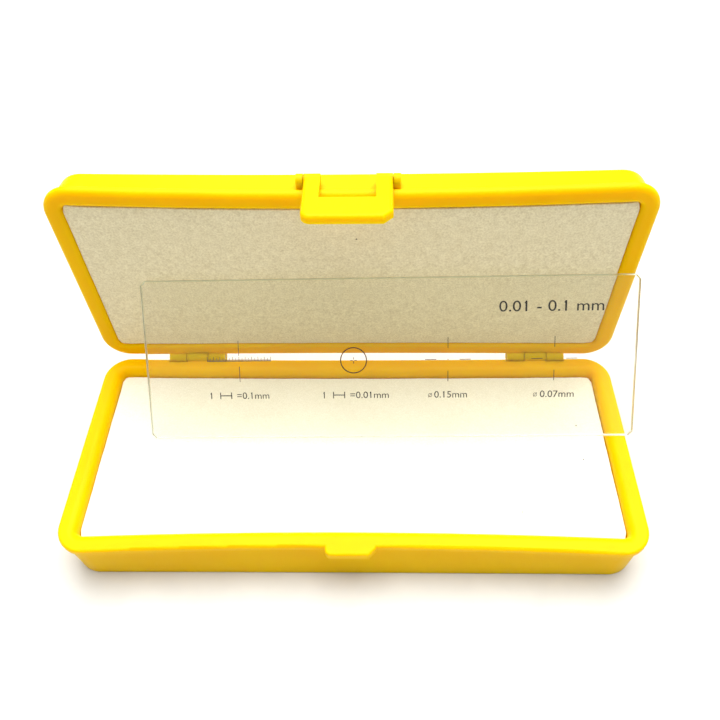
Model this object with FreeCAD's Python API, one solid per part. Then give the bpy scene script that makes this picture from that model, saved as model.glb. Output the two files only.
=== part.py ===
import FreeCAD, Part
import math
import os

from FreeCAD import Matrix, Placement, Vector

# Glass calibration slide leaning in its hinged plastic case, in millimetres.
# The frame's origin is at the centre of the base's underside: +X runs to the right along the case,
# +Y runs back to the hinges and +Z points up. The case is modelled open, as it stands at rest.

# Case: two shallow moulded trays that meet at their rims
case_length = 86.0
case_depth = 35.0
base_height = 8.9
lid_height = 5.35
corner_radius = 4.1
front_bow = 0.95        # how far the middle of the rim's long front edge pulls in
rear_bow = 0.26
base_floor_bow = 0.03   # the walls run straighter where they meet the floor and the roof
lid_roof_bow = 0.44
base_rim_width = 2.75   # from the rim's outer edge to the inner wall
base_shoulder = 1.3     # radius of the rim's inner edge
base_inner_corner = 0.9
lid_rim_width = 2.5
lid_shoulder = 0.7
lid_inner_corner = 1.0
base_rim_edge = 0.4     # radius of the rim's outer edge
lid_rim_edge = 1.0
lid_flare = 0.28        # how far the lid's rim stands out past the base's
lip_overhang = 0.4      # how far the rim stands out from the wall under it
lip_thickness = 1.25
base_draft = 0.05       # how much the wall leans in from the rim to the bottom
lid_draft = 0.2
floor_thickness = 1.2
inner_draft = 0.15

# Hinges: a knuckle of the base between two knuckles of the lid, on a pin
lid_opening = 91.5      # degrees between the two rims when the lid stands open
hinge_gap = 0.35        # from the base's rear edge to the hinge axis
hinge_centres = {"left": -27.3, "right": 30.8}
hinge_width = 9.6
base_knuckle_width = 3.6
knuckle_radius = 0.95
knuckle_clearance = 0.1
hinge_pin_radius = 0.45
hinge_pin_play = 0.05

# Latch: a clip that swings on the lid's front wall and drops over a tab on the base's rim
latch_width = 12.3
latch_window_width = 7.7
latch_window_end = 2.4      # below the rim plane when the case is shut
latch_tip = 6.5
latch_thickness = 1.25
latch_pivot_reach = 0.85    # from the lip's front edge to the latch's axis
latch_pivot_height = 2.4    # above the rim plane when the case is shut
latch_barrel_radius = 1.0
latch_tip_radius = 1.4
latch_tip_chamfer = 1.3
latch_edge = 0.6            # radius of the plate's outer edge
latch_stub_radius = 0.5
latch_stub_play = 0.05
ear_thickness = 1.0
ear_gap = 0.1
tab_width = 7.4
tab_reach = 1.25
tab_thickness = 1.4
tab_root = 1.2          # how far the tab runs in under the rim's top

# Foam pads and the films that hold them
base_foam_x = (-40.0, 39.75)
base_foam_y = (-13.8, 14.3)
base_foam_recess = 1.6      # below the rim plane
lid_foam_x = (-40.2, 40.0)
lid_foam_y = (-13.85, 14.3)
lid_foam_recess = 0.4
foam_corner_radius = 1.2
film_thickness = 0.1
film_margin = 1.0

# Slide: the standard 3 by 1 inch microscope slide, leaning back against the lid
slide_length = 76.2
slide_width = 25.4
slide_thickness = 1.1
slide_corner_chamfer = 0.7
slide_edge_chamfer = 0.15
slide_left_x = -32.4
slide_foot_y = 2.5
slide_lean = 39.2           # degrees back from the vertical
slide_left_clearance = 0.15     # over the base's foam
slide_right_clearance = 0.08    # over the base's right rim
slide_turn = 0.27           # degrees that its right end stands nearer the front

# Print on the slide's front face, placed from its lower left corner
ink_thickness = 0.02
hairline = 0.1
mark_height = 12.62         # all four marks are centred on this line
tenth_scale_x = 14.8
hundredth_scale_x = 32.75
large_dot_x = 47.37
small_dot_x = 63.65
label_height = 1.05
label_baseline = 6.5
label_stroke = 0.15
range_height = 1.65
range_baseline = 20.0
range_stroke = 0.23

hinge_y = case_depth / 2 + hinge_gap
x_axis = Vector(1, 0, 0)


def write(name, shape):
    shape.exportStep(os.path.join("parts", name + ".step"))
    box = shape.BoundBox
    print(
        f"{name:24s} solids {len(shape.Solids)} valid {shape.isValid()} volume {shape.Volume:9.3f}"
        f"  x {box.XMin:7.2f}..{box.XMax:6.2f}  y {box.YMin:7.2f}..{box.YMax:6.2f}"
        f"  z {box.ZMin:6.2f}..{box.ZMax:6.2f}"
    )


def bowed_side(inset, corner, bow):
    """One long side and its right-hand corner, seen from the middle of the case: a shallow arc that pulls in
    by bow, and a corner arc tangent to it and to the short side. Distances are outward from the centre."""
    half_x = case_length / 2 - inset
    half_y = case_depth / 2 - inset
    run = case_length / 2 - corner_radius
    bow_radius = (run ** 2 + bow ** 2) / (2 * bow) + inset
    corner_x = half_x - corner
    corner_y = half_y - corner
    bow_centre = corner_y + math.sqrt((bow_radius + corner) ** 2 - corner_x ** 2)
    share = corner / (bow_radius + corner)
    touch = (corner_x * (1 - share), corner_y + (bow_centre - corner_y) * share)
    turn = math.atan2(touch[1] - corner_y, touch[0] - corner_x)
    middle = (corner_x + corner * math.cos(turn / 2), corner_y + corner * math.sin(turn / 2))
    return {"start": (half_x, corner_y), "middle": middle, "touch": touch, "crown": bow_centre - bow_radius}


def outline(inset, corner, z, bows=(front_bow, rear_bow)):
    """The outline of the case, moved in by inset, as eight tangent edges."""
    front = bowed_side(inset, corner, bows[0])
    rear = bowed_side(inset, corner, bows[1])

    def at(point, side_x, side_y):
        return Vector(side_x * point[0], side_y * point[1], z)

    edges = []
    for side_x, side_y, side, following in ((1, 1, rear, rear), (-1, -1, front, front)):
        crown = Vector(0, side_y * side["crown"], z)
        other = -side_x
        edges.append(Part.Arc(at(side["start"], side_x, side_y), at(side["middle"], side_x, side_y),
                              at(side["touch"], side_x, side_y)).toShape())
        edges.append(Part.Arc(at(side["touch"], side_x, side_y), crown, at(side["touch"], other, side_y)).toShape())
        edges.append(Part.Arc(at(side["touch"], other, side_y), at(side["middle"], other, side_y),
                              at(side["start"], other, side_y)).toShape())
        next_side = front if side_y > 0 else rear
        edges.append(Part.makeLine(at(side["start"], other, side_y), at(next_side["start"], other, -side_y)))
    return Part.Wire(edges)


def edges_at(shape, z, reach=case_length):
    """The edges that lie in the plane at height z, no further out along X than reach."""
    found = []
    for edge in shape.Edges:
        box = edge.BoundBox
        if abs(box.ZMin - z) < 1e-4 and abs(box.ZMax - z) < 1e-4 and box.XMax <= reach and box.XMin >= -reach:
            found.append(edge)
    return found


def tray(height, rim_width, shoulder, inner_corner, rim_edge, flare, draft, floor_bow):
    """A tray with its mouth up: the rim lies in the plane z = 0 and the floor's underside at -height."""
    straight = (floor_bow, floor_bow)
    lip = Part.Face(outline(-flare, corner_radius + flare, -lip_thickness)).extrude(Vector(0, 0, lip_thickness))
    lip = lip.makeFillet(rim_edge, edges_at(lip, 0))
    lip = lip.makeFillet(0.2, edges_at(lip, -lip_thickness))
    top = outline(lip_overhang, corner_radius - lip_overhang, -lip_thickness / 2)
    bottom = outline(lip_overhang + draft, corner_radius, -height, straight)
    wall = Part.makeLoft([bottom, top], True, True)
    wall = wall.makeFillet(0.3, edges_at(wall, -height))
    body = lip.fuse(wall).removeSplitter()
    mouth = outline(rim_width, inner_corner, 0)
    floor = outline(rim_width + inner_draft, inner_corner, floor_thickness - height, straight)
    body = body.cut(Part.makeLoft([floor, mouth], True, True))
    inner_edges = edges_at(body, 0, case_length / 2 - rim_width + 0.01)
    return body.makeFillet(shoulder, inner_edges)


def cylinder_along_x(radius, x0, x1, y, z):
    return Part.makeCylinder(radius, x1 - x0, Vector(x0, y, z), x_axis)


def knuckle(x0, x1, side):
    """A hinge knuckle with the web that ties it to the lip; side is -1 under the rim plane and 1 over it."""
    web_front = case_depth / 2 - lip_overhang
    web_low = -knuckle_radius if side < 0 else 0
    web = Part.makeBox(x1 - x0, hinge_y - web_front, knuckle_radius, Vector(x0, web_front, web_low))
    return cylinder_along_x(knuckle_radius, x0, x1, hinge_y, 0).fuse(web)


def hinge_spans(centre):
    """The X spans of the lid's left knuckle, the base's knuckle and the lid's right knuckle."""
    left, right = centre - hinge_width / 2, centre + hinge_width / 2
    inner_left, inner_right = centre - base_knuckle_width / 2, centre + base_knuckle_width / 2
    return [
        (left, inner_left - knuckle_clearance),
        (inner_left, inner_right),
        (inner_right + knuckle_clearance, right),
    ]


def with_knuckles(body, own, others, side):
    """Adds a tray's own knuckles, drills them for the pin, and cuts room for the other tray's knuckles."""
    for centre in hinge_centres.values():
        spans = hinge_spans(centre)
        for k in others:
            x0, x1 = spans[k]
            room = cylinder_along_x(
                knuckle_radius + knuckle_clearance, x0 - knuckle_clearance, x1 + knuckle_clearance, hinge_y, 0
            )
            body = body.cut(room)
        for k in own:
            body = body.fuse(knuckle(*spans[k], side))
        hole = cylinder_along_x(
            hinge_pin_radius + hinge_pin_play, centre - hinge_width, centre + hinge_width, hinge_y, 0
        )
        body = body.cut(hole)
    return body.removeSplitter()


def front_lip_y():
    """The front edge of the lip at the middle of the case, where its bow is deepest."""
    return -bowed_side(0, corner_radius, front_bow)["crown"]


def clip_outline(width, reach, root, corner, chamfer, thickness, top):
    """A flat tongue in the plane z = top, with a rounded left corner and a cut-off right corner."""
    half = width / 2
    tip = root - reach
    c45 = corner * (1 - math.sqrt(0.5))
    edges = [
        Part.makeLine(Vector(-half, root, top), Vector(-half, tip + corner, top)),
        Part.Arc(Vector(-half, tip + corner, top), Vector(-half + c45, tip + c45, top),
                 Vector(-half + corner, tip, top)).toShape(),
        Part.makeLine(Vector(-half + corner, tip, top), Vector(half - chamfer, tip, top)),
        Part.makeLine(Vector(half - chamfer, tip, top), Vector(half, tip + chamfer, top)),
        Part.makeLine(Vector(half, tip + chamfer, top), Vector(half, root, top)),
        Part.makeLine(Vector(half, root, top), Vector(-half, root, top)),
    ]
    return Part.Face(Part.Wire(edges)).extrude(Vector(0, 0, -thickness))


def base_tray():
    body = tray(base_height, base_rim_width, base_shoulder, base_inner_corner, base_rim_edge, 0, base_draft,
                base_floor_bow)
    body = with_knuckles(body, own=(1,), others=(0, 2), side=-1)
    root = front_lip_y() + tab_root
    tab = clip_outline(tab_width, tab_root + tab_reach, root, 1.0, 1.1, tab_thickness, 0)
    tab = tab.makeFillet(0.35, tip_edges(tab, 0, root))
    body = body.fuse(tab).removeSplitter()
    body.translate(Vector(0, 0, base_height))
    return body


def tip_edges(shape, z, root):
    """The edges of a tongue's upper or lower face, without the one at its root."""
    return [e for e in edges_at(shape, z) if e.BoundBox.YMin < root - 1e-3]


def latch_ear(side):
    """One of the lid's two ears, in the closed lid's place, with the hole for the latch's stub."""
    inner = side * (latch_width / 2 + ear_gap)
    outer = inner + side * ear_thickness
    x0, x1 = min(inner, outer), max(inner, outer)
    pivot_y = latch_pivot_y()
    wall_y = front_lip_y() + lip_overhang + lid_draft + 0.4
    ear = cylinder_along_x(latch_barrel_radius, x0, x1, pivot_y, latch_pivot_height)
    ear = ear.fuse(Part.makeBox(ear_thickness, wall_y - pivot_y, 2 * latch_barrel_radius,
                                Vector(x0, pivot_y, latch_pivot_height - latch_barrel_radius)))
    return ear


def latch_pivot_y():
    """The latch's axis, just far enough from the lid's wall for the barrels to turn."""
    return front_lip_y() - latch_pivot_reach


def opened(shape):
    """Moves a shape from its place in the shut case to its place with the lid standing open."""
    shape.rotate(Vector(0, hinge_y, base_height), x_axis, -lid_opening)
    return shape


def lid_tray():
    body = tray(lid_height, lid_rim_width, lid_shoulder, lid_inner_corner, lid_rim_edge, lid_flare, lid_draft,
                lid_roof_bow)
    body = body.mirror(Vector(0, 0, 0), Vector(0, 0, 1))
    body = with_knuckles(body, own=(0, 2), others=(1,), side=1)
    for side in (-1, 1):
        body = body.fuse(latch_ear(side))
    hole = cylinder_along_x(latch_stub_radius + latch_stub_play, -case_length / 4, case_length / 4,
                            latch_pivot_y(), latch_pivot_height)
    body = body.cut(hole).removeSplitter()
    body.translate(Vector(0, 0, base_height))
    return opened(body)


def latch():
    """The clip: two arms that turn on stubs in the lid's ears, and the plate that joins their ends."""
    pivot_y = latch_pivot_y()
    outer_y = pivot_y - latch_barrel_radius + 0.05
    length = latch_pivot_height + latch_tip
    flat = clip_outline(latch_width, length, 0, latch_tip_radius, latch_tip_chamfer, latch_thickness, 0)
    flat = flat.makeFillet(latch_edge, tip_edges(flat, 0, 0))
    # the flat tongue is stood on its tip: its length runs down and its upper face looks to the front
    flat.rotate(Vector(0, 0, 0), x_axis, 90)
    flat.translate(Vector(0, outer_y, latch_pivot_height))
    body = flat
    half_window = latch_window_width / 2
    for side in (-1, 1):
        x0, x1 = sorted((side * half_window, side * latch_width / 2))
        body = body.fuse(cylinder_along_x(latch_barrel_radius, x0, x1, pivot_y, latch_pivot_height))
    window = Part.makeBox(latch_window_width, 6, latch_pivot_height + latch_window_end + 3,
                          Vector(-half_window, outer_y - 2, -latch_window_end))
    body = body.cut(window)
    for side in (-1, 1):
        root = side * (latch_width / 2 - 0.5)
        end = side * (latch_width / 2 + ear_gap + ear_thickness - 0.05)
        x0, x1 = sorted((root, end))
        body = body.fuse(cylinder_along_x(latch_stub_radius, x0, x1, pivot_y, latch_pivot_height))
    body = body.removeSplitter()
    body.translate(Vector(0, 0, base_height))
    return opened(body)


def hinge_pin(centre):
    length = hinge_width - 0.2
    return cylinder_along_x(hinge_pin_radius, centre - length / 2, centre + length / 2, hinge_y, base_height)


def pad(x_span, y_span, z_span, corner):
    """A flat block with rounded upright corners."""
    width, depth, height = x_span[1] - x_span[0], y_span[1] - y_span[0], z_span[1] - z_span[0]
    block = Part.makeBox(width, depth, height, Vector(x_span[0], y_span[0], z_span[0]))
    upright = [e for e in block.Edges if e.BoundBox.ZLength > height / 2]
    return block.makeFillet(corner, upright)


def foam_and_film(x_span, y_span, recess, height):
    """The pad and its film in a tray with its mouth up and its rim at z = 0."""
    floor_z = floor_thickness - height
    film_x = (x_span[0] + film_margin, x_span[1] - film_margin)
    film_y = (y_span[0] + film_margin, y_span[1] - film_margin)
    film = pad(film_x, film_y, (floor_z, floor_z + film_thickness), foam_corner_radius)
    foam = pad(x_span, y_span, (floor_z + film_thickness, -recess), foam_corner_radius)
    return foam, film


def base_foam_and_film():
    shapes = foam_and_film(base_foam_x, base_foam_y, base_foam_recess, base_height)
    for shape in shapes:
        shape.translate(Vector(0, 0, base_height))
    return shapes


def lid_foam_and_film():
    placed = []
    for shape in foam_and_film(lid_foam_x, lid_foam_y, lid_foam_recess, lid_height):
        shape = shape.mirror(Vector(0, 0, 0), Vector(0, 0, 1))
        shape.translate(Vector(0, 0, base_height))
        placed.append(opened(shape))
    return placed


def slide_placement():
    """Where the slide's lower left back corner lies, and how it leans. Its left end stands on the foam and
    its right end on the base's right rim, so it tips up slightly to the right."""
    rim_x = case_length / 2 - 1.9
    left_z = base_height - base_foam_recess + slide_left_clearance
    right_z = base_height + slide_right_clearance
    rise = (right_z - left_z) / (rim_x - slide_left_x)
    along = Vector(1, -math.tan(math.radians(slide_turn)), rise).normalize()
    lean = math.radians(slide_lean)
    up = Vector(0, math.sin(lean), math.cos(lean))
    up = (up - along * up.dot(along)).normalize()
    facing = along.cross(up)
    corner = Vector(slide_left_x, slide_foot_y, left_z)
    matrix = Matrix(
        along.x, up.x, facing.x, corner.x,
        along.y, up.y, facing.y, corner.y,
        along.z, up.z, facing.z, corner.z,
        0, 0, 0, 1,
    )
    return Placement(matrix)


def glass_slide():
    block = Part.makeBox(slide_length, slide_width, slide_thickness)
    corners = [e for e in block.Edges if e.BoundBox.ZLength > slide_thickness / 2]
    block = block.makeChamfer(slide_corner_chamfer, corners)
    return block.makeChamfer(slide_edge_chamfer, edges_at(block, 0) + edges_at(block, slide_thickness))


def bar(x0, x1, y0, y1):
    """A printed bar on the slide's front face."""
    return Part.makeBox(x1 - x0, y1 - y0, ink_thickness, Vector(x0, y0, slide_thickness))


def joined(shapes):
    return shapes[0].multiFuse(shapes[1:]).removeSplitter() if len(shapes) > 1 else shapes[0]


def disc(x, y, radius):
    return Part.makeCylinder(radius, ink_thickness, Vector(x, y, slide_thickness))


def hairline_at(x, y, along_x, start, end):
    """A straight hairline that runs from start to end, measured from the mark's centre."""
    half = hairline / 2
    if along_x:
        return bar(x + start, x + end, y - half, y + half)
    return bar(x - half, x + half, y + start, y + end)


def tenth_scale():
    """A 10 mm scale in tenths, and the upright arm of its cross with a gap where they would meet."""
    pieces = [bar(tenth_scale_x - 5, tenth_scale_x + 5, mark_height, mark_height + hairline)]
    for k in range(101):
        tall = 0.75 if k % 10 == 0 else 0.55 if k % 5 == 0 else 0.35
        x = tenth_scale_x - 5 + k / 10
        wide = 0.045 if k % 5 else 0.07
        pieces.append(bar(x - wide / 2, x + wide / 2, mark_height, mark_height + tall))
    scale = joined(pieces)
    arms = [
        hairline_at(tenth_scale_x, mark_height, False, 0.9, 3.3),
        hairline_at(tenth_scale_x, mark_height, False, -3.3, -0.8),
    ]
    return Part.makeCompound([scale] + arms)


def hundredth_scale():
    """A 1 mm cross scale at the centre of a finding ring."""
    x, y = hundredth_scale_x, mark_height
    arms = []
    for along_x in (True, False):
        for start, end in ((-0.5, -0.14), (0.14, 0.5)):
            arms.append(hairline_at(x, y, along_x, start, end))
    return Part.makeCompound(arms)


def finding_ring():
    x, y = hundredth_scale_x, mark_height
    return disc(x, y, 2.1).cut(disc(x, y, 1.93))


def dot_target(x, diameter):
    """A measured dot and the four hairlines that point to it."""
    pieces = [disc(x, mark_height, diameter / 2)]
    for along_x in (True, False):
        for start, end in ((-3.5, -1.8), (1.8, 3.5)):
            pieces.append(hairline_at(x, mark_height, along_x, start, end))
    return Part.makeCompound(pieces)


# Plain stroke lettering on a grid one unit high: the width of each sign and the lines that draw it.
glyphs = {
    "0": (0.58, [(0.1, 0, 0.48, 0), (0.1, 1, 0.48, 1), (0, 0.14, 0, 0.86), (0.58, 0.14, 0.58, 0.86),
                 (0.1, 0, 0, 0.14), (0.48, 0, 0.58, 0.14), (0.1, 1, 0, 0.86), (0.48, 1, 0.58, 0.86)]),
    "1": (0.3, [(0.3, 0, 0.3, 1), (0.3, 1, 0.02, 0.76)]),
    "5": (0.56, [(0.5, 1, 0.1, 1), (0.1, 1, 0.04, 0.55), (0.04, 0.55, 0.4, 0.62), (0.4, 0.62, 0.56, 0.4),
                 (0.56, 0.4, 0.5, 0.1), (0.5, 0.1, 0.3, 0), (0.3, 0, 0, 0.08)]),
    "7": (0.54, [(0, 1, 0.54, 1), (0.54, 1, 0.16, 0)]),
    ".": (0.02, [(0, 0, 0.02, 0)]),
    "m": (0.8, [(0, 0, 0, 0.68), (0, 0.58, 0.12, 0.68), (0.12, 0.68, 0.4, 0.6), (0.4, 0, 0.4, 0.6),
                (0.4, 0.58, 0.52, 0.68), (0.52, 0.68, 0.8, 0.6), (0.8, 0, 0.8, 0.6)]),
    "o": (0.5, [(0.1, 0.2, 0.4, 0.2), (0.1, 0.7, 0.4, 0.7), (0.02, 0.28, 0.02, 0.62), (0.48, 0.28, 0.48, 0.62),
                (0.1, 0.2, 0.02, 0.28), (0.4, 0.2, 0.48, 0.28), (0.1, 0.7, 0.02, 0.62),
                (0.4, 0.7, 0.48, 0.62), (0, 0.12, 0.5, 0.78)]),
    "-": (0.4, [(0, 0.45, 0.4, 0.45)]),
    "=": (0.5, [(0, 0.33, 0.5, 0.33), (0, 0.63, 0.5, 0.63)]),
    "|": (1.7, [(0, 0, 0, 1), (1.7, 0, 1.7, 1), (0, 0.5, 1.7, 0.5)]),     # one division of a scale
    " ": (0.25, []),
}
glyph_gap = 0.24


def stroke(x0, y0, x1, y1, width):
    """One pen stroke: a flat bar with square ends that reach half its width past both points."""
    length = math.hypot(x1 - x0, y1 - y0)
    piece = Part.makeBox(length + width, width, ink_thickness, Vector(-width / 2, -width / 2, slide_thickness))
    piece.rotate(Vector(0, 0, 0), Vector(0, 0, 1), math.degrees(math.atan2(y1 - y0, x1 - x0)))
    piece.translate(Vector(x0, y0, 0))
    return piece


def lettering(text, left, right, baseline, height, width):
    """A line of signs spread from left to right."""
    natural = sum(glyphs[c][0] for c in text) + glyph_gap * (len(text) - 1)
    squeeze = (right - left) / (natural * height)
    signs = []
    x = 0.0
    for c in text:
        sign_width, lines = glyphs[c]
        strokes = []
        for x0, y0, x1, y1 in lines:
            strokes.append(stroke(
                left + (x + x0) * height * squeeze, baseline + y0 * height,
                left + (x + x1) * height * squeeze, baseline + y1 * height, width,
            ))
        if strokes:
            signs.append(joined(strokes))
        x += sign_width + glyph_gap
    return Part.makeCompound(signs)


def slide_parts():
    labels = {
        "tenth_label": ("1 | =0.1mm", 10.0, 19.2),
        "hundredth_label": ("1 | =0.01mm", 27.9, 38.1),
        "large_dot_label": ("o 0.15mm", 44.35, 50.25),
        "small_dot_label": ("o 0.07mm", 60.6, 66.7),
    }
    shapes = {
        "glass_slide": glass_slide(),
        "tenth_scale": tenth_scale(),
        "hundredth_scale": hundredth_scale(),
        "finding_ring": finding_ring(),
        "large_dot_target": dot_target(large_dot_x, 0.15),
        "small_dot_target": dot_target(small_dot_x, 0.07),
        "range_label": lettering("0.01 - 0.1 mm", 55.3, 70.7, range_baseline, range_height, range_stroke),
    }
    for name, (text, left, right) in labels.items():
        shapes[name] = lettering(text, left, right, label_baseline, label_height, label_stroke)
    placement = slide_placement()
    for shape in shapes.values():
        shape.Placement = placement.multiply(shape.Placement)
    return shapes


os.makedirs("parts", exist_ok=True)
base_foam, base_foam_film = base_foam_and_film()
lid_foam, lid_foam_film = lid_foam_and_film()
parts = {
    "base_tray": base_tray(),
    "base_foam": base_foam,
    "base_foam_film": base_foam_film,
    "lid_tray": lid_tray(),
    "lid_foam": lid_foam,
    "lid_foam_film": lid_foam_film,
    "latch": latch(),
}
for end, centre in hinge_centres.items():
    parts["hinge_pin_" + end] = hinge_pin(centre)
parts.update(slide_parts())
for name, shape in parts.items():
    write(name, shape)
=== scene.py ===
import math

import bmesh
import bpy
from mathutils import Matrix, Vector, noise


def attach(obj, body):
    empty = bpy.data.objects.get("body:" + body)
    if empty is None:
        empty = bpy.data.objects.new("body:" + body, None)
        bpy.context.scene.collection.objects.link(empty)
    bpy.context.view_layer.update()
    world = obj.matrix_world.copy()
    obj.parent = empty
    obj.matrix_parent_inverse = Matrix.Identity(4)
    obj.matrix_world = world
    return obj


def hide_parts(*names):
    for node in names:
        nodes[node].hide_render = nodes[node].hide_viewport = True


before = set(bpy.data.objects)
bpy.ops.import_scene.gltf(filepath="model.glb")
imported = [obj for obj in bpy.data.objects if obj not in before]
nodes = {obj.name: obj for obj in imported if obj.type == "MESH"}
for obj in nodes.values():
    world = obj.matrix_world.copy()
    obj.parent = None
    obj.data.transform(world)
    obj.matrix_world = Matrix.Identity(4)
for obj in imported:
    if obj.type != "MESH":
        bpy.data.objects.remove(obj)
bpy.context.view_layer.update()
mm = 0.001


def linear(hexColour):
    # sRGB hex to the linear colour that shaders take
    channels = [int(hexColour[i:i + 2], 16) / 255 for i in (1, 3, 5)]
    straightened = (c / 12.92 if c <= 0.04045 else ((c + 0.055) / 1.055) ** 2.4 for c in channels)
    return (*straightened, 1.0)


def add(tree, kind, settings=None, **links):
    # one node: settings are its properties, its unlinked sockets or its ramp's stops (where in the
    # pattern each tone stands), and links are the sockets that other nodes feed, by name or number
    made = tree.nodes.new(kind)
    for key, value in (settings or {}).items():
        if key == "stops":
            for element, (position, hexColour) in zip(made.color_ramp.elements, value):
                element.position = position
                element.color = linear(hexColour)
        elif isinstance(key, int) or key in made.inputs:
            made.inputs[key].default_value = value
        else:
            setattr(made, key, value)
    for key, source in links.items():
        numbered = key[0] == "i" and key[1:].isdigit()
        socket = int(key[1:]) if numbered else key.replace("_", " ")
        tree.links.new(source, made.inputs[socket])
    return made


def newMaterial(name):
    material = bpy.data.materials.new(name)
    material.use_nodes = True
    tree = material.node_tree
    tree.nodes.clear()
    return material, tree, tree.nodes.new("ShaderNodeOutputMaterial")


def paint(piece, material):
    piece.data.materials.clear()
    piece.data.materials.append(material)
    return piece


# Injection-moulded polypropylene: a soft satin gloss over a slightly milky yellow, with a faint
# grain from the spark-eroded mould and slow changes of tone where the plastic flowed.
plasticLook = {
    "colour": "#F4C200",
    "flowColour": "#F2BC00",
    "flowSize": 9 * mm,
    "toneSpread": (0.3, 0.7),
    "grainSize": 0.22 * mm,     # a real grain is nearer 0.05 mm; this one is coarse enough to show
    "grainDepth": 0.012 * mm,
    "grainStrength": 0.6,
    "roughness": 0.36,
    "handledSize": 4 * mm,      # handling has polished some patches a little more than others
    "handledGloss": (-0.05, 0.07),
    "ior": 1.49,
    "specular": 0.05,
    "milkiness": 0.75,
    "scatter": 2.4 * mm,
    "scatterReach": (1.0, 0.8, 0.1),    # yellow: red and green light go far, blue is soaked up
}


def mouldedPolypropylene(name, values):
    material, tree, output = newMaterial(name)
    place = add(tree, "ShaderNodeTexCoord").outputs["Object"]
    flow = add(tree, "ShaderNodeTexNoise", {"Scale": 1 / values["flowSize"], "Detail": 3.0},
               Vector=place)
    tones = (values["flowColour"], values["colour"])
    tone = add(tree, "ShaderNodeValToRGB", {"stops": zip(values["toneSpread"], tones)},
               Fac=flow.outputs["Fac"])
    grain = add(tree, "ShaderNodeTexNoise", {"Scale": 1 / values["grainSize"], "Detail": 2.0},
                Vector=place)
    handled = add(tree, "ShaderNodeTexNoise", {"Scale": 1 / values["handledSize"], "Detail": 4.0},
                  Vector=place)
    more, less = values["handledGloss"]
    gloss = add(tree, "ShaderNodeMapRange",
                {"To Min": values["roughness"] + more, "To Max": values["roughness"] + less},
                Value=handled.outputs["Fac"])
    bump = add(tree, "ShaderNodeBump",
               {"Strength": values["grainStrength"], "Distance": values["grainDepth"]},
               Height=grain.outputs["Fac"])
    shader = add(tree, "ShaderNodeBsdfPrincipled",
                 {"IOR": values["ior"], "Specular IOR Level": values["specular"],
                  "Subsurface Weight": values["milkiness"], "Subsurface Scale": values["scatter"],
                  "Subsurface Radius": values["scatterReach"]},
                 Base_Color=tone.outputs["Color"], Roughness=gloss.outputs["Result"],
                 Normal=bump.outputs["Normal"])
    tree.links.new(shader.outputs["BSDF"], output.inputs["Surface"])
    return material


# Open-cell polyurethane foam, slit from a block: matt and soft, with fine pores, a slight mottle
# and the odd speck of dust.
foamLook = {
    "base": {"pale": "#F8F5E6", "deep": "#EBE7D4"},
    # the lid's pad is the same white foam as the base's: its deeper, yellower tones are painted
    # shade and painted yellow light thrown back from the plastic
    "lid": {"pale": "#FAF2D2", "deep": "#D5C9A4"},
    "toneSpread": (0.32, 0.66),
    "poreSize": 0.3 * mm,       # real pores are nearer 0.15 mm; these are coarse enough to show
    "poreDepth": 0.06 * mm,
    "poreStrength": 0.7,
    "mottleSize": 1.1 * mm,
    "mottleShare": 0.25,        # of the tone; the pores give the rest
    "speckSpacing": 9 * mm,
    "speckSize": 0.13 * mm,
    "speckColour": "#6B6154",
    "roughness": 0.93,
    "ior": 1.3,
    "sheen": 0.15,
    "sheenRoughness": 0.6,
}


def slitFoam(name, tones, values):
    material, tree, output = newMaterial(name)
    place = add(tree, "ShaderNodeTexCoord").outputs["Object"]
    pores = add(tree, "ShaderNodeTexNoise",
                {"Scale": 1 / values["poreSize"], "Detail": 4.0, "Roughness": 0.7}, Vector=place)
    mottle = add(tree, "ShaderNodeTexNoise", {"Scale": 1 / values["mottleSize"], "Detail": 5.0},
                 Vector=place)
    blend = add(tree, "ShaderNodeMix", {"data_type": "FLOAT", 0: values["mottleShare"]},
                i2=pores.outputs["Fac"], i3=mottle.outputs["Fac"])
    tone = add(tree, "ShaderNodeValToRGB",
               {"stops": zip(values["toneSpread"], (tones["deep"], tones["pale"]))},
               Fac=blend.outputs[0])
    specks = add(tree, "ShaderNodeTexVoronoi", {"Scale": 1 / values["speckSpacing"]}, Vector=place)
    speckReach = values["speckSize"] / values["speckSpacing"]
    nearSpeck = add(tree, "ShaderNodeMath", {"operation": "LESS_THAN", 1: speckReach},
                    i0=specks.outputs["Distance"])
    colour = add(tree, "ShaderNodeMix", {"data_type": "RGBA", 7: linear(values["speckColour"])},
                 i0=nearSpeck.outputs["Value"], i6=tone.outputs["Color"])
    bump = add(tree, "ShaderNodeBump",
               {"Strength": values["poreStrength"], "Distance": values["poreDepth"]},
               Height=pores.outputs["Fac"])
    shader = add(tree, "ShaderNodeBsdfPrincipled",
                 {"Roughness": values["roughness"], "IOR": values["ior"],
                  "Sheen Weight": values["sheen"], "Sheen Roughness": values["sheenRoughness"]},
                 Base_Color=colour.outputs[2], Normal=bump.outputs["Normal"])
    tree.links.new(shader.outputs["BSDF"], output.inputs["Surface"])
    return material


# Where the slide leans, in millimetres and degrees. These match the CAD, so that new lettering
# lands on the face of the glass.
slidePlace = {
    "corner": (-32.4, 2.5, 7.45),               # its lower left back corner, on the foam
    "turn": 0.27,                               # its right end stands nearer the front
    "lean": 39.2,                               # back from the vertical
    "rise": (8.98 - 7.45) / (41.1 + 32.4),      # its right end stands on the base's rim
    "thickness": 1.1,
}


def slideMatrix(values):
    # columns: along the slide, up its face, out of its front; millimetres in, metres out
    along = Vector((1, -math.tan(math.radians(values["turn"])), values["rise"])).normalized()
    lean = math.radians(values["lean"])
    up = Vector((0, math.sin(lean), math.cos(lean)))
    up = (up - along * up.dot(along)).normalized()
    facing = along.cross(up)
    matrix = Matrix((along, up, facing)).transposed().to_4x4()
    matrix.translation = Vector(values["corner"]) * mm
    return matrix @ Matrix.Scale(mm, 4)


onSlide = slideMatrix(slidePlace)

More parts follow.
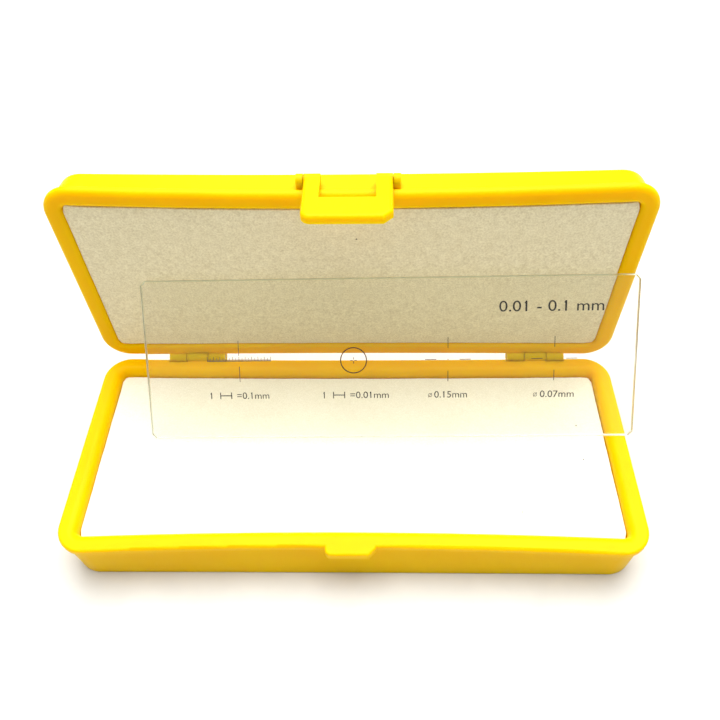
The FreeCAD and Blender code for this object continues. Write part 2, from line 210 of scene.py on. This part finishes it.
# Soda-lime glass: clear and slightly green, polished on both faces, with edges ground to a fine
# matt.
glassLook = {
    "faceColour": "#FFFFFD",
    "edgeColour": "#D5DEC4",
    "edgeRoughness": 0.42,
    "edgeSpread": 0.12,
    "gritSize": 0.12 * mm,      # real grit marks are near 0.03 mm; these are coarse enough to show
    "squareToFace": 0.97,       # what is turned further than this from the face is a ground edge
    "ior": 1.52,
    "shadowColour": "#FCFCF8",
}


def polishedGlass(name, values):
    material, tree, output = newMaterial(name)
    geometry = add(tree, "ShaderNodeTexCoord")
    facing = onSlide.to_3x3().col[2].normalized()
    lined = add(tree, "ShaderNodeVectorMath", {"operation": "DOT_PRODUCT", 1: tuple(facing)},
                i0=geometry.outputs["Normal"])
    square = add(tree, "ShaderNodeMath", {"operation": "ABSOLUTE"}, i0=lined.outputs["Value"])
    edge = add(tree, "ShaderNodeMath", {"operation": "LESS_THAN", 1: values["squareToFace"]},
               i0=square.outputs["Value"])
    grind = add(tree, "ShaderNodeTexNoise", {"Scale": 1 / values["gritSize"], "Detail": 3.0},
                Vector=geometry.outputs["Object"])
    frost = add(tree, "ShaderNodeMapRange",
                {"To Min": values["edgeRoughness"] - values["edgeSpread"],
                 "To Max": values["edgeRoughness"] + values["edgeSpread"]},
                Value=grind.outputs["Fac"])
    roughness = add(tree, "ShaderNodeMath", {"operation": "MULTIPLY"},
                    i0=edge.outputs["Value"], i1=frost.outputs["Result"])
    colour = add(tree, "ShaderNodeMix",
                 {"data_type": "RGBA", 6: linear(values["faceColour"]),
                  7: linear(values["edgeColour"])},
                 i0=edge.outputs["Value"])
    shader = add(tree, "ShaderNodeBsdfPrincipled",
                 {"IOR": values["ior"], "Transmission Weight": 1.0},
                 Base_Color=colour.outputs[2], Roughness=roughness.outputs["Value"])
    # light reaches what stands behind the glass, as it does through a real slide
    path = add(tree, "ShaderNodeLightPath")
    clear = add(tree, "ShaderNodeBsdfTransparent", {"Color": linear(values["shadowColour"])})
    lampsPass = add(tree, "ShaderNodeMixShader", Fac=path.outputs["Is Shadow Ray"],
                    i1=shader.outputs["BSDF"], i2=clear.outputs["BSDF"])
    bouncesPass = add(tree, "ShaderNodeMixShader", Fac=path.outputs["Is Diffuse Ray"],
                      i1=lampsPass.outputs["Shader"], i2=clear.outputs["BSDF"])
    tree.links.new(bouncesPass.outputs["Shader"], output.inputs["Surface"])
    return material


# Screen-printed ceramic ink, fired on: flat and dark, thinner in places so that the glass shows a
# trace.
inkLook = {
    "mark": {"dense": "#2E2119", "thin": "#5A4534"},
    "text": {"dense": "#1F1E1D", "thin": "#3C3A38"},
    "ring": {"dense": "#3A2415", "thin": "#6A4526"},
    "ruler": {"dense": "#5C4A38", "thin": "#8A745A"},
    "toneSpread": (0.35, 0.75),
    "patchSize": 0.5 * mm,
    "roughness": 0.55,
    "ior": 1.5,
}


def firedInk(name, tones, values):
    material, tree, output = newMaterial(name)
    place = add(tree, "ShaderNodeTexCoord").outputs["Object"]
    patches = add(tree, "ShaderNodeTexNoise", {"Scale": 1 / values["patchSize"], "Detail": 2.0},
                  Vector=place)
    tone = add(tree, "ShaderNodeValToRGB",
               {"stops": zip(values["toneSpread"], (tones["dense"], tones["thin"]))},
               Fac=patches.outputs["Fac"])
    shader = add(tree, "ShaderNodeBsdfPrincipled",
                 {"Roughness": values["roughness"], "IOR": values["ior"]},
                 Base_Color=tone.outputs["Color"])
    tree.links.new(shader.outputs["BSDF"], output.inputs["Surface"])
    return material


# Cold-drawn stainless wire: bright, with fine lines along its length from the die. The lines keep
# their real spacing, because little more than the wire's ends can be seen.
steelLook = {
    "dull": "#A9A9AB",
    "bright": "#C9C9CB",
    "toneSpread": (0.3, 0.7),
    "lineSpacing": 0.05 * mm,
    "lineStretch": 0.02,
    "roughness": (0.22, 0.4),
}


def drawnSteel(name, values):
    material, tree, output = newMaterial(name)
    place = add(tree, "ShaderNodeTexCoord").outputs["Object"]
    stretch = add(tree, "ShaderNodeMapping", {"Scale": (values["lineStretch"], 1.0, 1.0)},
                  Vector=place)
    lines = add(tree, "ShaderNodeTexNoise", {"Scale": 1 / values["lineSpacing"], "Detail": 2.0},
                Vector=stretch.outputs["Vector"])
    tones = (values["dull"], values["bright"])
    tone = add(tree, "ShaderNodeValToRGB", {"stops": zip(values["toneSpread"], tones)},
               Fac=lines.outputs["Fac"])
    smooth, scored = values["roughness"]
    gloss = add(tree, "ShaderNodeMapRange", {"To Min": smooth, "To Max": scored},
                Value=lines.outputs["Fac"])
    shader = add(tree, "ShaderNodeBsdfPrincipled", {"Metallic": 1.0},
                 Base_Color=tone.outputs["Color"], Roughness=gloss.outputs["Result"])
    tree.links.new(shader.outputs["BSDF"], output.inputs["Surface"])
    return material


# Acrylic transfer adhesive: a thin milky film with small trapped bubbles.
filmLook = {
    "milky": "#E4E0CE",
    "clear": "#F1EEE2",
    "toneSpread": (0.3, 0.7),
    "bubbleSize": 1.5 * mm,
    "roughness": 0.3,
    "ior": 1.47,
}


def acrylicFilm(name, values):
    material, tree, output = newMaterial(name)
    place = add(tree, "ShaderNodeTexCoord").outputs["Object"]
    bubbles = add(tree, "ShaderNodeTexNoise", {"Scale": 1 / values["bubbleSize"], "Detail": 3.0},
                  Vector=place)
    tones = (values["milky"], values["clear"])
    tone = add(tree, "ShaderNodeValToRGB", {"stops": zip(values["toneSpread"], tones)},
               Fac=bubbles.outputs["Fac"])
    shader = add(tree, "ShaderNodeBsdfPrincipled",
                 {"Roughness": values["roughness"], "IOR": values["ior"]},
                 Base_Color=tone.outputs["Color"])
    tree.links.new(shader.outputs["BSDF"], output.inputs["Surface"])
    return material


print("materials")
yellowPlastic = mouldedPolypropylene("mouldedPolypropylene", plasticLook)
baseFoam = slitFoam("slitFoamWhite", foamLook["base"], foamLook)
# the lid's pad gets the deeper, yellower tones: painted shade and painted yellow bounce light on
# the same white foam
paintedShadeLidFoam = slitFoam("slitFoamPaintedShade", foamLook["lid"], foamLook)
clearGlass = polishedGlass("polishedSodaLimeGlass", glassLook)
markInk = firedInk("firedInkMarks", inkLook["mark"], inkLook)
textInk = firedInk("firedInkNumbers", inkLook["text"], inkLook)
ringInk = firedInk("firedInkRing", inkLook["ring"], inkLook)
rulerInk = firedInk("firedInkRuler", inkLook["ruler"], inkLook)
pinSteel = drawnSteel("drawnSteelWire", steelLook)
padFilm = acrylicFilm("acrylicTransferFilm", filmLook)

for name in ("base_tray", "lid_tray", "latch"):
    paint(nodes[name], yellowPlastic)
for name in ("hinge_pin_left", "hinge_pin_right"):
    paint(nodes[name], pinSteel)
for name in ("base_foam_film", "lid_foam_film"):
    paint(nodes[name], padFilm)
for name in ("hundredth_scale", "large_dot_target", "small_dot_target"):
    paint(nodes[name], markInk)
paint(nodes["tenth_scale"], rulerInk)
paint(nodes["finding_ring"], ringInk)
paint(nodes["glass_slide"], clearGlass)

# Foam pads. Each is cut by hand with a knife, so its edges wander, and its upper edge is softly
# rounded. The values are in millimetres, in the tray with its mouth up and its rim at height 0.
padShapes = {
    "base": {"x": (-40.25, 40.2), "y": (-14.7, 14.7), "top": -1.6, "bottom": -7.6, "seed": 3.1},
    "lid": {"x": (-40.5, 40.45), "y": (-14.95, 14.95), "top": -0.3, "bottom": -4.05, "seed": 11.7},
    "frontBow": 0.9,        # how far the tray's walls pull in at the middle
    "rearBow": 0.25,
    "corner": 0.9,
    "edgeRound": 0.15,
    "knifeWander": 0.05,    # how far the knife strays, and over what length
    "wanderLength": 7,
    "nicks": 0.04,          # smaller steps in the cut, and their length on the top and the sides
    "nickLength": 1.1,
    "sideNickLength": 1.3,
    "noiseReach": 0.6,      # added to the noise, so that the cut seldom passes the outline
    "cutWidth": 2.5,        # how far in from the edge the cut still moves the foam
    "swell": 0.05,          # how uneven the top is, and over what length
    "swellLength": 8,
    "swellTop": 0.9,        # the noise at which the foam stands at its full height
    "spacing": 0.9,         # between the mesh's lines, and how many lines stand near an edge
    "edgeLines": [0, 0.08, 0.2, 0.35, 0.55, 0.8, 1.2],
    "roundLine": 0.8,       # the one of them where the rounding ends
    "sideLayers": 5,
}


def crowded(length, values):
    # places from 0 to 1 across a pad, close together at both edges
    spacing = values["spacing"]
    inner = [n * values["edgeRound"] / values["roundLine"] for n in values["edgeLines"]]
    count = round((length - 2 * inner[-1]) / spacing)
    middle = [inner[-1] + (length - 2 * inner[-1]) * k / count for k in range(1, count)]
    places = inner + middle + [length - n for n in reversed(inner)]
    return [p / length for p in places]


def foamPad(name, shape, values):
    (x0, x1), (y0, y1) = shape["x"], shape["y"]
    halfX, halfY = (x1 - x0) / 2, (y1 - y0) / 2
    centreX, centreY = (x0 + x1) / 2, (y0 + y1) / 2
    corner, rounding = values["corner"], values["edgeRound"]
    wander, nick = values["wanderLength"], values["nickLength"]
    sideNick, swell, reach = values["sideNickLength"], values["swellLength"], values["noiseReach"]
    columns = crowded(2 * halfX, values)
    rows = crowded(2 * halfY, values)

    def cutEdge(x, y):
        # how far the knife strayed inwards here
        slow = noise.noise(Vector((x / wander, y / wander, shape["seed"])))
        quick = noise.noise(Vector((x / nick, y / nick, shape["seed"])))
        return values["knifeWander"] * (reach + slow) + values["nicks"] * (reach + quick)

    def inwards(x, y):
        # distance to the pad's outline
        dx, dy = halfX - abs(x), halfY - abs(y)
        if dx < corner and dy < corner:
            return corner - math.hypot(corner - dx, corner - dy)
        return min(dx, dy)

    def bowed(x, y):
        # the pad is pressed in, so its long sides follow the walls
        across = 1 - (x / halfX) ** 2
        toFront = (halfY - y) / (2 * halfY)
        return y + across * (values["frontBow"] * toFront - values["rearBow"] * (1 - toFront))

    def grid(u, v):
        # a place on the pad's top, from 0 to 1 each way to millimetres from its middle
        y = (2 * v - 1) * halfY
        beyond = abs(y) - (halfY - corner)
        end = halfX
        if beyond > 0:
            end = halfX - corner + math.sqrt(max(corner ** 2 - beyond ** 2, 0))
        x = (2 * u - 1) * end
        pull = max(0.0, 1 - inwards(x, y) / values["cutWidth"]) ** 2 * cutEdge(x, y)
        return x * (1 - pull / halfX), bowed(x, y * (1 - pull / halfY))

    mesh = bmesh.new()
    top = []
    for v in rows:
        line = []
        for u in columns:
            x, y = grid(u, v)
            gap = max(0.0, min(inwards((2 * u - 1) * halfX, (2 * v - 1) * halfY), halfX))
            fall = rounding - math.sqrt(max(rounding ** 2 - max(rounding - gap, 0) ** 2, 0))
            wave = noise.noise(Vector((x / swell, y / swell, shape["seed"] * 2)))
            lift = values["swell"] * (wave - values["swellTop"])
            z = shape["top"] - fall + min(lift, 0)
            line.append(mesh.verts.new((x + centreX, y + centreY, z)))
        top.append(line)
    for j in range(len(rows) - 1):
        for i in range(len(columns) - 1):
            mesh.faces.new((top[j][i], top[j][i + 1], top[j + 1][i + 1], top[j + 1][i]))
    rightEnd = [line[-1] for line in top[1:]]
    leftEnd = [line[0] for line in top[-2:0:-1]]
    rim = top[0] + rightEnd + top[-1][-2::-1] + leftEnd
    above = rim
    height = shape["top"] - rounding - shape["bottom"]
    layers = values["sideLayers"]
    for k in range(1, layers + 1):
        below = []
        for vert in rim:
            z = shape["top"] - rounding - height * k / layers
            x, y = vert.co.x - centreX, vert.co.y - centreY
            step = noise.noise(Vector((x / sideNick, y / sideNick, z)))
            wobble = values["nicks"] * (step - reach)
            scale = 1 + wobble / math.hypot(x, y)
            below.append(mesh.verts.new((x * scale + centreX, y * scale + centreY, z)))
        for i in range(len(rim)):
            j = (i + 1) % len(rim)
            mesh.faces.new((above[i], below[i], below[j], above[j]))
        above = below
    mesh.faces.new(list(reversed(above)))
    bmesh.ops.recalc_face_normals(mesh, faces=mesh.faces)
    for face in mesh.faces:
        face.smooth = True
    data = bpy.data.meshes.new(name)
    mesh.to_mesh(data)
    mesh.free()
    pad = bpy.data.objects.new(name, data)
    bpy.context.collection.objects.link(pad)
    return pad


# Millimetres and degrees, as in the CAD: each pad is lifted to its tray's rim, and the lid's pad is
# turned mouth down and swung open with the lid.
caseFacts = {"baseHeight": 8.9, "hingeY": 17.85, "opening": 91.5}
toMetres = Matrix.Scale(mm, 4)
baseUp = Matrix.Translation((0, 0, caseFacts["baseHeight"]))
hinge = Vector((0, caseFacts["hingeY"], caseFacts["baseHeight"]))
turnBack = Matrix.Rotation(math.radians(-caseFacts["opening"]), 4, "X")
swing = Matrix.Translation(hinge) @ turnBack @ Matrix.Translation(-hinge)
overturned = Matrix.Scale(-1, 4, (0, 0, 1))

print("foam pads")
basePad = foamPad("baseFoamPad", padShapes["base"], padShapes)
basePad.data.transform(toMetres @ baseUp)
paint(basePad, baseFoam)
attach(basePad, "base")
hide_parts("base_foam")

lidPad = foamPad("lidFoamPad", padShapes["lid"], padShapes)
lidPad.data.transform(toMetres @ swing @ baseUp @ overturned)
lidPad.data.flip_normals()
paint(lidPad, paintedShadeLidFoam)
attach(lidPad, "lid")
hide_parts("lid_foam")

# Lettering. Only numbers, units and signs: each line is set in the built-in face and squeezed to
# its place. Places and sizes are millimetres on the glass.
lettering = {
    # text, left, right, baseline, height
    "lines": {
        "range_label": [("0.01 - 0.1 mm", 55.1, 70.85, 20.0, 1.65)],
        "tenth_label": [("1", 10.05, 10.2, 6.55, 1.05), ("=0.1mm", 14.2, 19.3, 6.55, 1.05)],
        "hundredth_label": [("1", 27.95, 28.1, 6.52, 1.05), ("=0.01mm", 32.1, 38.15, 6.52, 1.05)],
        "large_dot_label": [("0.15mm", 45.25, 50.35, 6.5, 1.05)],
        "small_dot_label": [("0.07mm", 61.6, 66.8, 6.45, 1.05)],
    },
    "thickness": 0.02,
    "curveSteps": 6,
    # shares of the line's height, and of the stroke where the flag meets the stem
    "oneFlag": {"reach": 0.23, "drop": 0.15, "stroke": 0.13, "overlap": 0.3, "root": 1.1},
    "division": {
        "left": {"tenth_label": 11.5, "hundredth_label": 29.4},
        "width": 1.9,
        "stroke": 0.15,
    },
    "diameter": {
        "middle": {"large_dot_label": 44.6, "small_dot_label": 60.85},
        "height": 0.42,
        "radius": 0.3,
        "stroke": 0.07,
        "slashReach": 1.45,     # in radii
        "slashTurn": 52,        # degrees
        "steps": 28,
    },
}
glassFace = slidePlace["thickness"]


def typeset(text):
    # a flat mesh of a line in the built-in face
    curve = bpy.data.curves.new("type", "FONT")
    curve.body = text
    curve.resolution_u = lettering["curveSteps"]
    holder = bpy.data.objects.new("type", curve)
    bpy.context.collection.objects.link(holder)
    bpy.context.view_layer.update()
    evaluated = holder.evaluated_get(bpy.context.evaluated_depsgraph_get())
    flat = bpy.data.meshes.new_from_object(evaluated)
    bpy.data.objects.remove(holder)
    return flat


def setLine(text, left, right, baseline, height):
    # a line of type on the face of the glass; the built-in face's plain 1 is given a flag
    flat = typeset(text)
    xs = [v.co.x for v in flat.vertices]
    ys = [v.co.y for v in flat.vertices]
    spanX = (right - left) / (max(xs) - min(xs))
    spanY = height / max(ys)
    line = bmesh.new()
    line.from_mesh(flat)
    bpy.data.meshes.remove(flat)
    for vert in line.verts:
        vert.co = (left + (vert.co.x - min(xs)) * spanX, baseline + vert.co.y * spanY, glassFace)
    flag = lettering["oneFlag"]
    reach, drop, stroke = (flag[k] * height for k in ("reach", "drop", "stroke"))
    for k, sign in enumerate(text):
        if sign != "1":
            continue
        part = typeset(text[:k + 1])
        edge = left + (max(v.co.x for v in part.vertices) - min(xs)) * spanX
        bpy.data.meshes.remove(part)
        top = baseline + height
        stem = edge - flag["overlap"] * stroke
        corners = ((stem, top), (edge - reach, top - drop), (edge - reach, top - drop - stroke),
                   (stem, top - stroke * flag["root"]))
        line.faces.new([line.verts.new((x, y, glassFace)) for x, y in corners])
    thicken(line)
    return line


def thicken(flat):
    # gives flat faces the thickness of the ink, always in the same order
    faces, borders = list(flat.faces), [edge for edge in flat.edges if edge.is_boundary]
    lift = Vector((0, 0, lettering["thickness"]))
    raised = {vert: flat.verts.new(vert.co + lift) for vert in list(flat.verts)}
    for face in faces:
        flat.faces.new([raised[vert] for vert in face.verts])
    for edge in borders:
        start, end = edge.verts
        flat.faces.new((start, end, raised[end], raised[start]))
    bmesh.ops.recalc_face_normals(flat, faces=flat.faces)


def flatBar(x0, x1, y0, y1):
    bar = bmesh.new()
    corners = ((x0, y0), (x1, y0), (x1, y1), (x0, y1))
    bar.faces.new([bar.verts.new((x, y, glassFace)) for x, y in corners])
    thicken(bar)
    return bar


def divisionMark(left, baseline, height):
    # two scale lines and the length between them
    width, stroke = lettering["division"]["width"], lettering["division"]["stroke"]
    right, top, middle = left + width, baseline + height, baseline + height / 2
    return [
        flatBar(left, left + stroke, baseline, top),
        flatBar(right - stroke, right, baseline, top),
        flatBar(left + stroke, right - stroke, middle - stroke / 2, middle + stroke / 2),
    ]


def diameterMark(x, baseline):
    # a small ring with a stroke through it
    sign = lettering["diameter"]
    radius, stroke, steps = sign["radius"], sign["stroke"], sign["steps"]
    y = baseline + sign["height"]
    ring = bmesh.new()

    def circle(size):
        angles = [2 * math.pi * k / steps for k in range(steps)]
        return [ring.verts.new((x + size * math.cos(a), y + size * math.sin(a), glassFace))
                for a in angles]

    outer, inner = circle(radius), circle(radius - stroke)
    for k in range(steps):
        j = (k + 1) % steps
        ring.faces.new((outer[k], outer[j], inner[j], inner[k]))
    thicken(ring)
    reach = sign["slashReach"] * radius
    slash = flatBar(-reach, reach, -stroke / 2, stroke / 2)
    turn = Matrix.Rotation(math.radians(sign["slashTurn"]), 3, "Z")
    for vert in slash.verts:
        turned = turn @ Vector((vert.co.x, vert.co.y, 0))
        vert.co = (x + turned.x, y + turned.y, vert.co.z)
    return [ring, slash]


def label(node, lines):
    # one label: its lines and its sign, joined in one mesh
    baseline, height = lines[0][3:]
    divisions, dots = lettering["division"]["left"], lettering["diameter"]["middle"]
    pieces = [setLine(*line) for line in lines]
    if node in divisions:
        pieces += divisionMark(divisions[node], baseline, height)
    if node in dots:
        pieces += diameterMark(dots[node], baseline)
    whole = bmesh.new()
    for piece in pieces:
        part = bpy.data.meshes.new("part")
        piece.to_mesh(part)
        piece.free()
        whole.from_mesh(part)
        bpy.data.meshes.remove(part)
    whole.transform(onSlide)
    data = bpy.data.meshes.new(node + "Print")
    whole.to_mesh(data)
    whole.free()
    made = bpy.data.objects.new(node + "Print", data)
    bpy.context.collection.objects.link(made)
    paint(made, textInk)
    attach(made, "slide")
    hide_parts(node)


print("lettering")
for node, lines in lettering["lines"].items():
    label(node, lines)

# Uncoated white card under the case: matt, with a very faint cloudiness where the fibres lie
# thicker.
floorCard = {
    "size": 3.0,                # metres
    "colour": "#DEDEDA",
    "fleck": "#D9D9D5",
    "toneSpread": (0.35, 0.65),
    "fleckSize": 6 * mm,
    "roughness": 0.85,
}


def whiteCard(name, values):
    material, tree, output = newMaterial(name)
    place = add(tree, "ShaderNodeTexCoord").outputs["Object"]
    flecks = add(tree, "ShaderNodeTexNoise", {"Scale": 1 / values["fleckSize"], "Detail": 4.0},
                 Vector=place)
    tones = (values["fleck"], values["colour"])
    tone = add(tree, "ShaderNodeValToRGB", {"stops": zip(values["toneSpread"], tones)},
               Fac=flecks.outputs["Fac"])
    shader = add(tree, "ShaderNodeBsdfPrincipled", {"Roughness": values["roughness"]},
                 Base_Color=tone.outputs["Color"])
    tree.links.new(shader.outputs["BSDF"], output.inputs["Surface"])
    return material


print("floor, light and camera")
half = floorCard["size"] / 2
floorData = bpy.data.meshes.new("floor")
floorCorners = [(-half, -half, 0), (half, -half, 0), (half, half, 0), (-half, half, 0)]
floorData.from_pydata(floorCorners, [], [(0, 1, 2, 3)])
floor = bpy.data.objects.new("floor", floorData)
bpy.context.collection.objects.link(floor)
paint(floor, whiteCard("whiteCard", floorCard))

# An even white sky and one square softbox above and behind the case, in metres and watts.
studio = {
    "sky": 0.34,
    "skyColour": "#FFFDFA",
    "overheadPower": 9.8,
    "overheadSize": 0.7,
    "overheadPlace": (0.03, 0.18, 0.62),
    "aim": (0.0, 0.0, 0.0),
}
world = bpy.data.worlds.new("studio")
bpy.context.scene.world = world
world.use_nodes = True
sky = world.node_tree.nodes["Background"]
sky.inputs["Color"].default_value = linear(studio["skyColour"])
sky.inputs["Strength"].default_value = studio["sky"]

softbox = bpy.data.lights.new("overheadSoftbox", "AREA")
softbox.energy = studio["overheadPower"]
softbox.shape = "SQUARE"
softbox.size = studio["overheadSize"]
lamp = bpy.data.objects.new("overheadSoftbox", softbox)
lamp.location = studio["overheadPlace"]
fromAim = Vector(studio["overheadPlace"]) - Vector(studio["aim"])
lamp.rotation_euler = fromAim.to_track_quat("Z", "Y").to_euler()
bpy.context.collection.objects.link(lamp)

bpy.context.scene.view_settings.view_transform = "Standard"

# A camera held close above the front edge: millimetres, and degrees for down, turn and roll.
viewpoint = {
    "place": (4.5, -56.8, 104.9),
    "down": 50.526,
    "turn": -1.999,
    "roll": -1.675,
    "lens": 35.0,
    "sensor": 36,
    "shift": (-0.0082, -0.0324),
    "nearest": 0.002,           # metres
}


def placeCamera(values):
    down, turn, roll = (math.radians(values[k]) for k in ("down", "turn", "roll"))
    level = math.cos(down)
    forward = Vector((math.sin(turn) * level, math.cos(turn) * level, -math.sin(down)))
    right = Vector((math.cos(turn), -math.sin(turn), 0))
    up = right.cross(forward)
    levelRight = math.cos(roll) * right + math.sin(roll) * up
    levelUp = -math.sin(roll) * right + math.cos(roll) * up
    data = bpy.data.cameras.new("camera")
    data.lens = values["lens"]
    data.sensor_width = values["sensor"]
    data.shift_x, data.shift_y = values["shift"]
    data.clip_start = values["nearest"]
    camera = bpy.data.objects.new("camera", data)
    matrix = Matrix((levelRight, levelUp, -forward)).transposed().to_4x4()
    matrix.translation = Vector(values["place"]) * mm
    camera.matrix_world = matrix
    bpy.context.collection.objects.link(camera)
    bpy.context.scene.camera = camera


placeCamera(viewpoint)

print("done")
